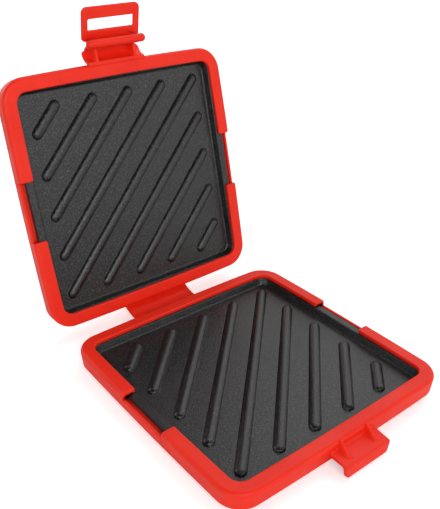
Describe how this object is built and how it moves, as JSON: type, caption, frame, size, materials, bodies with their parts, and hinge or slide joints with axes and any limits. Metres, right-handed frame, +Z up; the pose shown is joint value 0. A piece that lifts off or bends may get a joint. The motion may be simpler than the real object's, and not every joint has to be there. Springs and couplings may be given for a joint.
{
  "type": "microwave sandwich press",
  "caption": "Hinged press with soft red frames and dark ribbed trays, standing open, for toasting a filled sandwich in a microwave oven.",
  "frame": {"origin": "middle of the base half, on the plane that it stands on", "axes": "+Z up; +Y from the front, where the catch is, to the strap hinge at the back; +X to the right seen from the front"},
  "size_m": [0.16, 0.2426, 0.198],
  "materials": {
    "soft_silicone": "satin moulded silicone",
    "tray_coating": "matt dark non-stick coating",
    "heating_rubber": "matt ferrite-filled rubber"
  },
  "bodies": {
    "base": {"base_frame": "soft_silicone", "base_grill_plate": "tray_coating", "base_heating_layer": "heating_rubber", "hinge_strap": "soft_silicone"},
    "lid": {"lid_frame": "soft_silicone", "lid_grill_plate": "tray_coating", "lid_heating_layer": "heating_rubber"},
    "flap": {"latch_flap": "soft_silicone"}
  },
  "joints": [
    {"name": "lid_hinge", "type": "hinge", "parent": "base", "child": "lid", "pos_m": [0, 0.0872, 0.0056], "axis": [1, 0, 0], "range_deg": [-16, 104], "deforming": ["hinge_strap"]},
    {"name": "flap_fold", "type": "hinge", "parent": "lid", "child": "flap", "pos_m": [0, 0.14462, 0.17927], "axis": [1, 0, 0], "range_deg": [-60, 66]}
  ]
}
